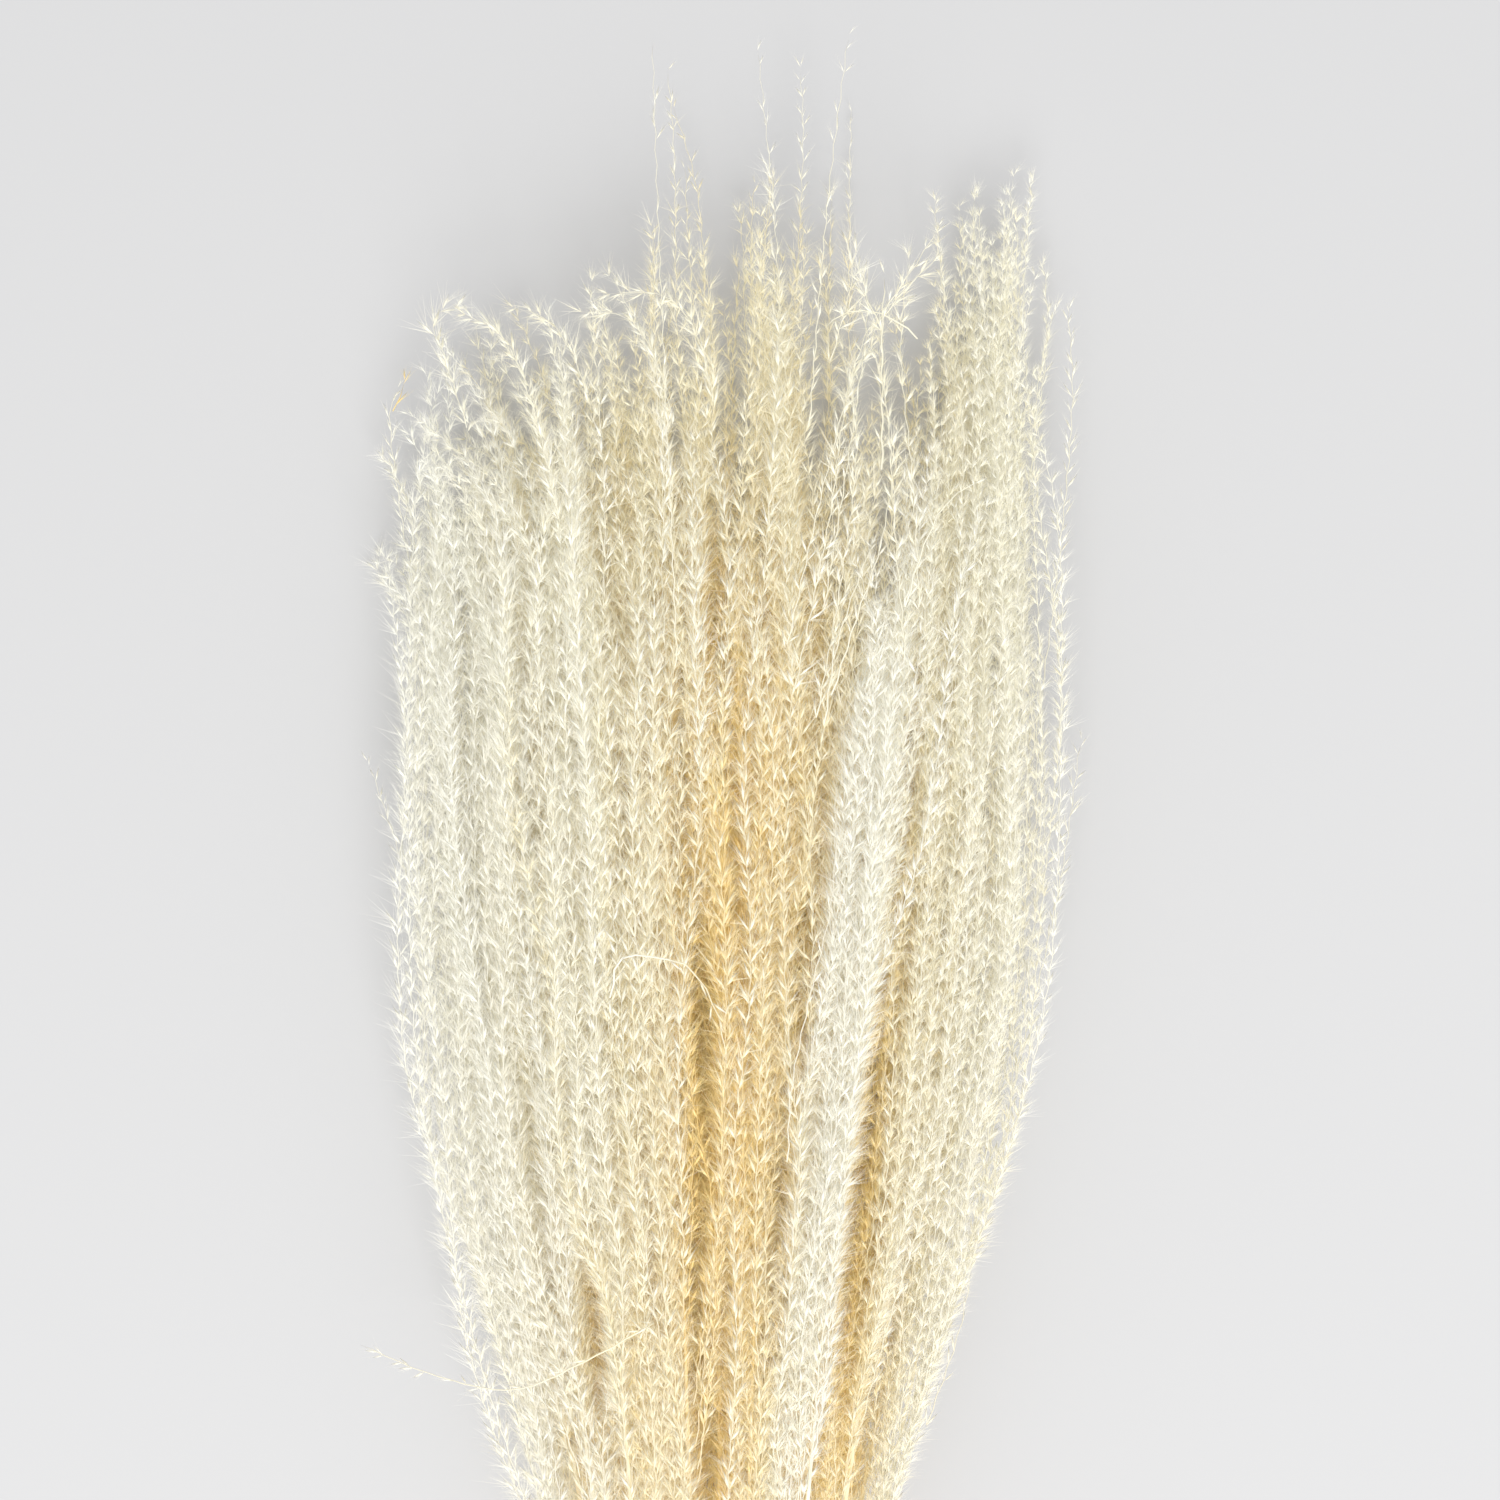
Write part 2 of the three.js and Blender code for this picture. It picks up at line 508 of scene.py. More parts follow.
@dataclass(frozen=True)
class TuftShape:
    """The sizes of a spikelet with its ring of silky hair."""

    body_length: float
    body_width: float
    hair_count: int
    hair_length: tuple[float, float]
    hair_spread: tuple[float, float]
    hair_width: float
    stalk_length: float = 0.9 * MM
    flatness: float = 0.5
    waist: float = 0.4
    point_gold: float = -0.2
    husk_gold: float = -0.04
    hair_gold: tuple[float, float] = (0.12, -0.03)

    def mesh(self, name: str, chance: random.Random) -> bpy.types.Mesh:
        """Builds one tuft that stands on the origin and points along Z.

        Args:
            name: the mesh's name.
            chance: the source of its irregularities.

        Returns:
            The tuft, with its offsets on the palette in its palette map.
        """
        bm = bmesh.new()
        palette = bm.loops.layers.uv.new(PALETTE_MAP)
        self._add_husk(bm, palette)
        for _ in range(self.hair_count):
            self._add_hair(bm, palette, chance)
        return mesh_from(bm, name)

    def _add_husk(self, bm: bmesh.types.BMesh, palette: Any) -> None:
        """A pointed, rather flat husk, widest below its middle."""
        whole = self.stalk_length + self.body_length
        foot = bm.verts.new((0.0, 0.0, 0.0))
        waist = bm.verts.new((0.5 * self.body_width, 0.0, self.waist * whole))
        point = bm.verts.new((0.0, 0.0, whole))
        edges = [bm.edges.new(pair) for pair in ((foot, waist), (waist, point))]
        outline = [foot, waist, point, *edges]
        bmesh.ops.spin(
            bm, geom=outline, cent=(0, 0, 0), axis=(0, 0, 1), angle=math.tau, steps=4, use_merge=True
        )
        bmesh.ops.remove_doubles(bm, verts=bm.verts, dist=0.001 * MM)
        bmesh.ops.scale(bm, vec=(1.0, self.flatness, 1.0), verts=bm.verts)
        bmesh.ops.recalc_face_normals(bm, faces=bm.faces)
        for face in bm.faces:
            face.smooth = True
            for corner in face.loops:
                place = corner.vert.co
                gold = self.husk_gold + self.point_gold * place.z / whole
                warmth = 0.02 * math.copysign(1.0, place.x) + 0.02 * place.y / self.body_width
                corner[palette].uv = (gold, warmth)

    def _add_hair(self, bm: bmesh.types.BMesh, palette: Any, chance: random.Random) -> None:
        """One hair: a blade that narrows to a point."""
        low, high = self.hair_spread
        lean = math.radians(low + (high - low) * chance.random())
        azimuth = chance.uniform(0.0, math.tau)
        across = math.sin(lean)
        direction = Vector((across * math.cos(azimuth), across * math.sin(azimuth), math.cos(lean)))
        root = Vector((0.0, 0.0, chance.uniform(0.0, 0.6) * self.body_length))
        tip = root + direction * chance.uniform(*self.hair_length)
        turn = Matrix.Rotation(chance.uniform(0.0, math.tau), 3, direction)
        side = turn @ direction.orthogonal().normalized() * (self.hair_width / 2)
        blade = bm.faces.new([bm.verts.new(root - side), bm.verts.new(root + side), bm.verts.new(tip)])
        warmth = chance.uniform(-0.08, 0.08)
        root_gold, tip_gold = self.hair_gold
        patch = ((root_gold, -0.015), (root_gold, 0.015), (tip_gold, 0.0))
        for corner, (gold, cast) in zip(blade.loops, patch):
            corner[palette].uv = (gold, cast + warmth)


TUFT_SHAPES = {
    Habit.OPEN: TuftShape(4.8 * MM, 0.85 * MM, 17, (3.5 * MM, 10.5 * MM), (3.0, 52.0), 0.09 * MM),
    Habit.CLOSED: TuftShape(3.7 * MM, 0.7 * MM, 17, (2.8 * MM, 7.5 * MM), (3.0, 50.0), 0.09 * MM),
    Habit.WISPY: TuftShape(4.2 * MM, 0.62 * MM, 7, (3.5 * MM, 6.5 * MM), (3.0, 26.0), 0.065 * MM),
}


class Stamp:
    """A small mesh that is copied into a larger one again and again."""

    def __init__(self, mesh: bpy.types.Mesh) -> None:
        """Remembers the mesh at rest."""
        self.mesh = mesh
        self.corners = len(mesh.loops)
        self._rest = np.empty(len(mesh.vertices) * 3, dtype=np.float32)
        mesh.vertices.foreach_get("co", self._rest)

    def press(self, bm: bmesh.types.BMesh, place: Matrix) -> None:
        """Adds a copy of the mesh at place."""
        self.mesh.vertices.foreach_set("co", self._rest)
        self.mesh.transform(place)
        bm.from_mesh(self.mesh)


class TuftBox:
    """A few tufts of each habit, ready to stamp."""

    def __init__(self, variants: int = 5) -> None:
        """Builds the tufts."""
        chance = random.Random(TUFT_SEED)
        self.stamps = {
            habit: [Stamp(shape.mesh(f"tuft_{habit.value}_{k}", chance)) for k in range(variants)]
            for habit, shape in TUFT_SHAPES.items()
        }


# ---- Racemes ----------------------------------------------------------------------------


@dataclass
class Raceme:
    """One hairy arm of a plume, along a path from its foot to its tip."""

    path: np.ndarray
    habit: Habit
    gold: float = 0.0
    warmth: float = 0.0
    node_step: float = 4.4 * MM
    bare_share: float = 0.05
    tilt: float = 27.0
    tilt_scatter: float = 8.0
    fullness: float = 1.0
    thread_width: float = THREAD_WIDTH
    thread_taper: float = 0.6
    zigzag: float = 0.25 * MM
    tuft_size: tuple[float, float] = (0.8, 1.15)
    tip_shrink: float = 0.3
    roll_scatter: float = 0.75
    least_tilt: float = 6.0
    slip: float = 0.35
    tip_loss: float = 0.35
    gold_scatter: float = 0.06
    warmth_scatter: float = 0.08
    pale_tip_y: tuple[float, float] = PALE_TIP_Y
    thinning_y: tuple[float, float] = THINNING_Y

    def gold_at(self, y: float) -> float:
        """The shift towards honey at y. Every raceme is pale at its tip."""
        return min(self.gold, 0.0) + max(self.gold, 0.0) * float(ease(y, *reversed(self.pale_tip_y)))


def thread_mesh(points: np.ndarray, widths: np.ndarray, sides: int) -> bpy.types.Mesh:
    """A thin round thread along a path, closed at both ends.

    Args:
        points: the path.
        widths: the thread's width at each point.
        sides: how many sides its section has.

    Returns:
        The thread, with small offsets in its palette map.
    """
    bm = bmesh.new()
    palette = bm.loops.layers.uv.new(PALETTE_MAP)
    ring, _ = sweep_thread(bm, points, widths, sides)
    bmesh.ops.pointmerge(bm, verts=ring, merge_co=Vector(points[-1]))
    bmesh.ops.recalc_face_normals(bm, faces=bm.faces)
    for face in bm.faces:
        face.smooth = True
        for k, corner in enumerate(face.loops):
            corner[palette].uv = (THREAD_PATCH * (k in (1, 2)), THREAD_PATCH * (k in (2, 3)))
    return mesh_from(bm, "thread")


@dataclass(frozen=True)
class Parting:
    """A place where the racemes above some height lie apart and show what is below."""

    foot: tuple[float, float]
    head: tuple[float, float]
    push: float
    spread: float
    above: float
    fade: float = 0.3
    blend: float = 6 * MM

    def shift(self, points: np.ndarray) -> np.ndarray:
        """How far each point of a raceme moves along X."""
        (x0, y0), (x1, y1) = self.foot, self.head
        away = points[:, 0] - x0 - (x1 - x0) * (points[:, 1] - y0) / (y1 - y0)
        fade = (y1 - y0) * self.fade
        window = ease(points[:, 1], y0 - fade, y0 + fade) * ease(points[:, 1], y1 + fade, y1 - fade)
        side = math.copysign(1.0, float(np.sum(away * window)) + 1e-9)
        lifted = ease(points[:, 2], self.above - self.blend, self.above + self.blend)
        return side * self.push * np.exp(-((away / self.spread) ** 2)) * window * lifted


PARTINGS = (
    Parting((-8 * MM, -20 * MM), (-3 * MM, 120 * MM), 3 * MM, 7 * MM, 48 * MM),
    Parting((12 * MM, -20 * MM), (17 * MM, 50 * MM), 3 * MM, 6 * MM, 46 * MM),
    Parting((36 * MM, 0 * MM), (48 * MM, 100 * MM), 3.5 * MM, 6 * MM, 42 * MM),
    Parting((-36 * MM, -30 * MM), (-32 * MM, 20 * MM), 3 * MM, 6 * MM, 42 * MM),
    Parting((34 * MM, 232 * MM), (44 * MM, 330 * MM), 7 * MM, 12 * MM, 14 * MM),
)


@dataclass(frozen=True)
class HoneyAndShadeSpot:
    """A long patch shifted towards honey. Some are grass that kept more of its honey colour; others are
    painted shade, golden streaks along a parting between racemes.
    """

    foot: tuple[float, float]
    head: tuple[float, float]
    half_width: float
    strength: float
    fade: float = 0.35

    def gold(self, x: np.ndarray, y: np.ndarray) -> np.ndarray:
        """How far each place is shifted towards honey."""
        (x0, y0), (x1, y1) = self.foot, self.head
        away = x - x0 - (x1 - x0) * (y - y0) / (y1 - y0)
        fade = (y1 - y0) * self.fade
        window = ease(y, y0 - fade, y0 + fade) * ease(y, y1 + fade, y1 - fade)
        return self.strength * np.exp(-((away / self.half_width) ** 2)) * window


HONEY_AND_SHADE_SPOTS = (
    # Grass that kept more of its honey colour, in the middle of the bunch.
    HoneyAndShadeSpot((-4 * MM, -100 * MM), (0 * MM, 200 * MM), 34 * MM, 0.24),
    HoneyAndShadeSpot((-1 * MM, 0 * MM), (4 * MM, 180 * MM), 17 * MM, 0.3),
    # Painted shade: golden streaks along the partings, where the racemes lie apart. These three follow the
    # first, third and fourth partings.
    HoneyAndShadeSpot((-8 * MM, -20 * MM), (-3 * MM, 120 * MM), 6 * MM, 0.3),
    HoneyAndShadeSpot((32 * MM, -60 * MM), (46 * MM, 95 * MM), 6 * MM, 0.3),
    HoneyAndShadeSpot((-36 * MM, -50 * MM), (-34 * MM, 20 * MM), 7 * MM, 0.16),
    # Grass that kept a little more of its honey colour, on the right lobe.
    HoneyAndShadeSpot((62 * MM, 60 * MM), (74 * MM, 250 * MM), 22 * MM, 0.08),
)


@dataclass(frozen=True)
class Tone:
    """Where each point of the bunch falls on the grass palette. The shift towards honey deeper in the bunch
    is painted shade: the golden tone of light scattered deep inside the grass.
    """

    dome: Dome
    skin_gold: float = 0.22
    shade_gold: float = 0.5
    shade_depth: float = 0.32
    foot_gold: float = 0.15
    tip_gold: float = 0.09
    side_bleach: float = 0.02
    warmth: float = 0.35
    foot_warmth: float = 0.4
    tip_warmth: float = -0.2

    def at(self, points: np.ndarray) -> np.ndarray:
        """Palette places, one (gold, warmth) row per point."""
        x, y = points[:, 0], points[:, 1]
        depth = self.dome.depth(points)
        shade_share = np.clip(depth / self.shade_depth, 0.0, 1.0)
        # Painted shade: the deeper a point lies in the bunch, the more golden it is, less so near the tips.
        gold = self.skin_gold + self.shade_gold * shade_share * (1.0 - 0.5 * ease(y, 165 * MM, 285 * MM))
        gold += self.foot_gold * ease(y, 120 * MM, -100 * MM) + self.tip_gold * ease(y, 150 * MM, 280 * MM)
        gold -= self.side_bleach * ease(x, -25 * MM, -80 * MM)
        # Each honey spot is stronger deeper in the bunch; that extra share is painted shade.
        for spot in HONEY_AND_SHADE_SPOTS:
            gold += spot.gold(x, y) * (0.7 + 0.6 * shade_share)
        warmth = self.warmth + self.foot_warmth * ease(y, 130 * MM, -60 * MM)
        warmth += self.tip_warmth * ease(y, 120 * MM, 280 * MM)
        return np.stack([gold, warmth], axis=1)


class Sheaf:
    """Collects threads and tufts into one mesh, with their places on the palette."""

    def __init__(self, tufts: TuftBox, chance: random.Random) -> None:
        """Starts empty."""
        self.tufts = tufts
        self.chance = chance
        self.bm = bmesh.new()
        self.bm.loops.layers.uv.new(PALETTE_MAP)
        self.corners: list[int] = []
        self.shifts: list[tuple[float, float]] = []

    def _press(self, stamp: Stamp, place: Matrix, shift: tuple[float, float]) -> None:
        """Adds one stamp and notes its palette shift."""
        stamp.press(self.bm, place)
        self.corners.append(stamp.corners)
        self.shifts.append(shift)

    def add_thread(
        self, points: np.ndarray, widths: np.ndarray, sides: int, shift: tuple[float, float]
    ) -> None:
        """Adds a bare thread along points."""
        mesh = thread_mesh(points, widths, sides)
        self._press(Stamp(mesh), Matrix.Identity(4), shift)
        bpy.data.meshes.remove(mesh)

    def add_raceme(self, raceme: Raceme) -> None:
        """Adds a raceme: its thread, and a pair of tufts at each node."""
        chance = self.chance
        nodes = even_steps(raceme.path, raceme.node_step)
        steps = np.gradient(nodes, axis=0)
        count = len(nodes)
        zigzag = raceme.zigzag * np.where(np.arange(count) % 2, 1.0, -1.0)
        line = nodes + zigzag[:, None] * np.array([1.0, 0.0, 0.0])
        widths = raceme.thread_width * (1.0 - raceme.thread_taper * np.linspace(0.0, 1.0, count))
        self.add_thread(line, widths, 3, (raceme.gold_at(nodes[-1, 1]), raceme.warmth))
        for k in range(int(count * raceme.bare_share), count):
            share = k / count
            thin = float(ease(nodes[k, 1], *raceme.thinning_y))
            habit = Habit.WISPY if chance.random() < thin else raceme.habit
            for side in (0.0, math.pi):
                if chance.random() > raceme.fullness * (1.0 - raceme.tip_loss * thin):
                    continue
                step = Vector(steps[k])
                origin = Vector(line[k]) + step * chance.uniform(-raceme.slip, raceme.slip)
                tilt = math.radians(max(raceme.least_tilt, chance.gauss(raceme.tilt, raceme.tilt_scatter)))
                roll = side + chance.gauss(0.0, raceme.roll_scatter)
                size = chance.uniform(*raceme.tuft_size) * (1.0 - raceme.tip_shrink * ease(share, 0.8, 1.0))
                spin = Matrix.Rotation(chance.uniform(0.0, math.tau), 4, "Z")
                place = along_frame(origin, step) @ Matrix.Rotation(roll, 4, "Z")
                place = place @ Matrix.Rotation(tilt, 4, "Y") @ spin @ Matrix.Scale(size, 4)
                gold = raceme.gold_at(nodes[k, 1]) + chance.gauss(0.0, raceme.gold_scatter)
                shift = (gold, raceme.warmth + chance.gauss(0.0, raceme.warmth_scatter))
                self._press(chance.choice(self.tufts.stamps[habit]), place, shift)

    def finish(self, name: str, tone: Tone) -> bpy.types.Mesh:
        """Writes the mesh, settles it on the table and gives it its places on the palette.

        Args:
            name: the mesh's name.
            tone: what gives each point its place on the palette.

        Returns:
            The finished mesh.
        """
        mesh = mesh_from(self.bm, name)
        points = np.empty(len(mesh.vertices) * 3, dtype=np.float32)
        mesh.vertices.foreach_get("co", points)
        points = points.reshape(-1, 3)
        points[:, 0] = np.clip(points[:, 0], -EDGE_X, EDGE_X)
        points[:, 2] = np.minimum(points[:, 2], EDGE_Z)
        low = points[:, 2] < SOFT_FLOOR
        points[low, 2] = SOFT_FLOOR * np.exp(points[low, 2] / SOFT_FLOOR - 1.0)
        mesh.vertices.foreach_set("co", points.ravel())
        owners = np.empty(len(mesh.loops), dtype=np.int32)
        mesh.loops.foreach_get("vertex_index", owners)
        layer = mesh.uv_layers[PALETTE_MAP].data
        places = np.empty(len(mesh.loops) * 2, dtype=np.float32)
        layer.foreach_get("uv", places)
        places = places.reshape(-1, 2) + tone.at(points)[owners]
        places += np.repeat(np.array(self.shifts), self.corners, axis=0)
        layer.foreach_set("uv", np.clip(places, 0.02, 0.98).ravel().astype(np.float32))
        return mesh


# ---- Plumes -----------------------------------------------------------------------------


class Bleach(Enum):
    """How far a plume was bleached, as a shift on the palette."""

    WHITE = -0.24
    IVORY = 0.0
    CREAM = 0.12
    HONEY = 0.26


@dataclass
class Plume:
    """One flower head: a short axis that carries a sheaf of racemes."""

    number: int
    spine: Spine
    bleach: Bleach = Bleach.IVORY
    raceme_count: int = 20
    spread: tuple[float, float] = (1.4, 1.15)
    axis_share: float = 0.28
    lean: float = 0.0
    lean_pivot: float = 60 * MM
    gather: float = 0.0
    point: float = 0.0
    reach: float = 1.0
    droop: float = 9 * MM
    wave: float = 1.6 * MM
    heave: float = 1.4 * MM
    lean_scatter: float = 0.035
    samples: int = 90
    curl_from: float = 0.8
    rise_paling: float = 0.1
    tone_scatter: float = 0.1
    angle_scatter: float = 0.3
    strays: tuple["Stray", ...] = ()
    chance: random.Random = field(init=False)

    def __post_init__(self) -> None:
        """Seeds the plume's own irregularities and reads its habit from its place."""
        self.chance = random.Random(PLUME_SEED + self.number)
        self.length = self.spine.y[-1] - self.spine.y[0]
        tip_x, tip_y = self.spine.x[-1], self.spine.y[-1]
        self.habit = Habit.CLOSED if tip_x > 38 * MM else Habit.OPEN
        self.sweep = -9 * MM * float(ease(tip_x, 0.0, -50 * MM)) * float(ease(tip_x, -95 * MM, -60 * MM))
        self.curl = 4 * MM + 4 * MM * float(ease(tip_x, 30 * MM, -30 * MM))
        self.tip_scatter = 0.16 + 0.2 * float(ease(tip_y, 303 * MM, 345 * MM)) - 0.16 * self.point
        self.thinning = tuple(y + 30 * MM * self.point for y in THINNING_Y)

    def racemes(self) -> list[Raceme]:
        """Lays out the racemes round the axis, by a sunflower pattern."""
        chance = self.chance
        turn = chance.uniform(0.0, math.tau)
        found = []
        for k in range(self.raceme_count):
            angle = turn + k * GOLDEN_ANGLE + chance.gauss(0.0, self.angle_scatter)
            radius = math.sqrt((k + 0.5) / self.raceme_count)
            foot = self.axis_share * ((k * FOOT_STEP + 0.1) % 1.0)
            tip = self.reach - self.tip_scatter * ((k * TIP_STEP) % 1.0) ** 0.6
            tip += self.point * (0.03 - 0.13 * radius**2)
            side = self.spread[0] * radius * math.cos(angle)
            rise = self.spread[1] * radius * math.sin(angle)
            path = self._path(foot, tip, side, rise)
            # Racemes that lie higher in the plume are paler, the lower ones more golden.
            gold = self.bleach.value - self.rise_paling * radius * math.sin(angle)
            gold += chance.gauss(0.0, self.tone_scatter)
            warmth = chance.gauss(0.0, self.tone_scatter)
            found.append(Raceme(path, self.habit, gold, warmth, thinning_y=self.thinning))
        return found

    def _path(self, foot: float, tip: float, side: float, rise: float) -> np.ndarray:
        """A raceme's line: it leaves the axis, keeps its place beside it and curls at the tip.

        Args:
            foot: where it starts, as a share of the plume's length.
            tip: where it ends, as such a share.
            side: its place across the plume, in half widths.
            rise: its place in height, in half heights.

        Returns:
            The line's points.
        """
        chance = self.chance
        share = np.linspace(0.0, 1.0, self.samples)
        y = self.spine.y[0] + self.length * (foot + (tip - foot) * share)
        points = self.spine.centre(y)
        reach_x, reach_z = self.spine.reach(y)
        leave = ease(share, -0.12, 0.3)
        wave = self.wave * self._swing(y / (20 * MM))
        heave = self.heave * self._swing(y / (18 * MM))
        lean = (self.lean + chance.gauss(0.0, self.lean_scatter)) * (y - self.lean_pivot)
        apart = leave * (1.0 - self.gather * ease(y, *GATHERED_Y))
        points[:, 0] += side * reach_x * apart + (wave + lean) * leave
        points[:, 2] += (rise * reach_z + heave) * leave
        for parting in PARTINGS:
            points[:, 0] += parting.shift(points)
        bend = np.clip((share - self.curl_from) / (1.0 - self.curl_from), 0.0, 1.0) ** 2
        curl = chance.gauss(self.sweep, self.curl)
        points[:, 0] += curl * bend
        points[:, 1] -= 0.5 * abs(curl) * bend
        points[:, 2] -= chance.uniform(0.1, 1.0) * self.droop * bend
        points[:, 0] = np.clip(points[:, 0], -ROOM_X, ROOM_X)
        points[:, 2] = np.clip(points[:, 2], TABLE_GAP, ROOM_Z)
        return points

    def _swing(self, turns: np.ndarray) -> np.ndarray:
        """A sine of turns, with a pace and a start of its own."""
        return np.sin(turns * self.chance.uniform(0.5, 1.3) + self.chance.uniform(0.0, math.tau))

    def _axis(self) -> np.ndarray:
        """The plume's own axis, from the culm up to its last raceme."""
        y = np.linspace(self.spine.y[0], self.spine.y[0] + self.axis_share * self.length, 24)
        return self.spine.centre(y)

    def build(self, tufts: TuftBox, tone: Tone, material: bpy.types.Material) -> None:
        """Grows the plume and puts it in place of its CAD node."""
        name = f"plume_{self.number:02d}"
        sheaf = Sheaf(tufts, self.chance)
        axis = self._axis()
        widths = np.linspace(2.2 * MM, 0.6 * MM, len(axis))
        sheaf.add_thread(axis, widths, 8, (self.bleach.value + 0.1, 0.1))
        for raceme in self.racemes():
            sheaf.add_raceme(raceme)
        for stray in self.strays:
            sheaf.add_raceme(stray.raceme())
        install(sheaf.finish(f"{name}_hair", tone), f"{name}_hair", name, material)


@dataclass(frozen=True)
class Stray:
    """A raceme that left its plume, along a few given points."""

    points: tuple[tuple[float, float, float], ...]
    habit: Habit = Habit.WISPY
    gold: float = 0.0
    fullness: float = 0.8
    thread: float = THREAD_WIDTH

    def raceme(self) -> Raceme:
        """The raceme on a smooth line through the points, with its honey up to the tip."""
        line = smooth_line(np.array(self.points) * MM)
        return Raceme(
            line, self.habit, self.gold, bare_share=0.0, fullness=self.fullness,
            thread_width=self.thread, pale_tip_y=NEVER_PALE_Y,
        )


def smooth_line(corners: np.ndarray, samples: int = 20) -> np.ndarray:
    """A Catmull-Rom line through corners, with so many samples from each to the next."""
    padded = np.vstack([2 * corners[0] - corners[1], corners, 2 * corners[-1] - corners[-2]])
    share = np.linspace(0.0, 1.0, samples, endpoint=False)[:, None]
    parts = []
    for a, b, c, d in zip(padded, padded[1:], padded[2:], padded[3:]):
        square = (2 * a - 5 * b + 4 * c - d) * share**2
        cube = (3 * b - a - 3 * c + d) * share**3
        parts.append(0.5 * (2 * b + (c - a) * share + square + cube))
    return np.vstack([*parts, corners[-1:]])


CURLED_TIP = {"habit": Habit.OPEN, "fullness": 1.0, "thread": 0.3 * MM}

# Places are in millimetres. The number is that of the plume that each stray grew from.
STRAYS: dict[int, tuple[Stray, ...]] = {
    10: (
        Stray(((-66, 20, 22), (-75, 60, 24), (-87, 109, 24), (-101, 150, 18)), gold=-0.05),
        Stray(((-80, 150, 20), (-88, 200, 22), (-94, 243, 20), (-91, 256, 18))),
        Stray(((-93, 247, 20), (-91, 252, 20), (-89, 257, 20)), gold=0.75, fullness=0.6),
    ),
    21: (
        Stray(
            ((-18, -4, 62), (-36, -14, 62), (-57, -24, 52), (-80, -22, 40), (-102, -15, 30)),
            fullness=0.35, thread=0.6 * MM,
        ),
        Stray(((-44, 214, 60), (-50, 240, 62), (-58, 262, 61), (-72, 271, 56)), **CURLED_TIP),
        Stray(((-36, 246, 60), (-40, 258, 60), (-47, 268, 58), (-56, 272, 54)), **CURLED_TIP),
        Stray(((-2, 246, 58), (-7, 265, 59), (-16, 275, 58), (-31, 276, 54)), **CURLED_TIP),
        Stray(((-13, 240, 58), (-18, 258, 59), (-26, 269, 58), (-40, 271, 54)), **CURLED_TIP),
        Stray(((-70, 240, 46), (-76, 258, 44), (-80, 270, 42), (-72, 275, 40)), **CURLED_TIP),
    ),
    22: (
        Stray(
            ((-30, 84, 60), (-27, 95, 66), (-16, 95, 67), (-8, 92, 67), (-1, 80, 67), (2, 64, 66)),
            gold=-0.2, fullness=0.35, thread=0.75 * MM,
        ),
        Stray(((-12, 175, 62), (-14, 225, 64), (-17, 290, 58), (-19, 346, 50)), fullness=0.4),
    ),
    23: (
        Stray(((18, 180, 62), (30, 232, 60), (41, 268, 52), (54, 277, 46)), fullness=0.5),
        Stray(((28, 190, 58), (36, 240, 56), (40, 275, 50), (34, 290, 46)), fullness=0.8),
        Stray(((24, 240, 54), (29, 300, 46), (35, 349, 40)), fullness=0.6),
        Stray(((20, 168, 62), (29, 212, 60), (35, 250, 56), (46, 268, 50)), Habit.OPEN, fullness=0.75),
        Stray(((26, 160, 60), (33, 200, 58), (37, 236, 54), (33, 262, 50)), Habit.OPEN, fullness=0.7),
        Stray(((30, 258, 50), (35, 276, 52), (36, 284, 52), (38, 296, 52)), Habit.OPEN, fullness=0.5),
        Stray(
            ((18, 40, 65), (19, 60, 66), (24, 85, 66), (30, 112, 66), (31, 145, 65)),
            gold=-0.15, fullness=0.1,
        ),
        Stray(((22, 110, 54), (27, 150, 54), (33, 190, 52), (41, 228, 48)), Habit.OPEN, 0.08, fullness=1.0),
        Stray(((30, 120, 50), (35, 160, 50), (39, 200, 48), (45, 240, 44)), Habit.OPEN, 0.08, fullness=1.0),
        Stray(((26, 100, 46), (31, 140, 46), (35, 185, 44), (37, 230, 40)), Habit.OPEN, 0.12, fullness=1.0),
        Stray(((36, 130, 44), (41, 170, 44), (46, 205, 42), (49, 240, 38)), Habit.OPEN, 0.1, fullness=1.0),
    ),
    24: (
        Stray(
            ((54, 264, 50), (49, 268, 52), (42, 271, 53), (34, 271, 52), (27, 266, 50)),
            fullness=0.3, thread=0.6 * MM,
        ),
        Stray(((41, 266, 52), (47, 275, 53), (55, 287, 52), (61, 297, 50)), fullness=0.6),
        Stray(((43, 268, 52), (50, 277, 52), (57, 284, 52), (61, 289, 50)), Habit.OPEN, fullness=0.6),
        Stray(((44, 228, 52), (44, 248, 52), (44, 268, 53), (45, 284, 52)), fullness=0.15, thread=0.8 * MM),
        Stray(((44, 266, 53), (41, 272, 54), (38, 279, 54)), Habit.OPEN),
        Stray(((50, 176, 60), (47, 214, 58), (45, 246, 54), (38, 272, 50)), Habit.OPEN, fullness=0.7),
        Stray(((54, 190, 58), (52, 226, 56), (49, 262, 52), (52, 290, 48)), Habit.OPEN, fullness=0.6),
        Stray(((50, 190, 62), (54, 204, 63), (61, 218, 62), (74, 227, 58)), fullness=0.1, thread=0.6 * MM),
        Stray(((28, 158, 62), (31, 178, 62), (37, 197, 61), (43, 212, 58)), fullness=0.2, thread=0.55 * MM),
        Stray(((30, 166, 62), (37, 188, 62), (43, 206, 60), (48, 232, 56)), fullness=0.2, thread=0.55 * MM),
    ),
    15: (
        Stray(((74, 20, 22), (84, 64, 24), (95, 112, 22), (102, 156, 16)), Habit.WISPY, 0.05),
        Stray(((88, 150, 20), (95, 205, 22), (99, 250, 20), (98, 278, 16)), Habit.WISPY),
        Stray(((58, -40, 18), (68, -10, 18), (73, 22, 14)), Habit.WISPY, fullness=0.6),
    ),
}

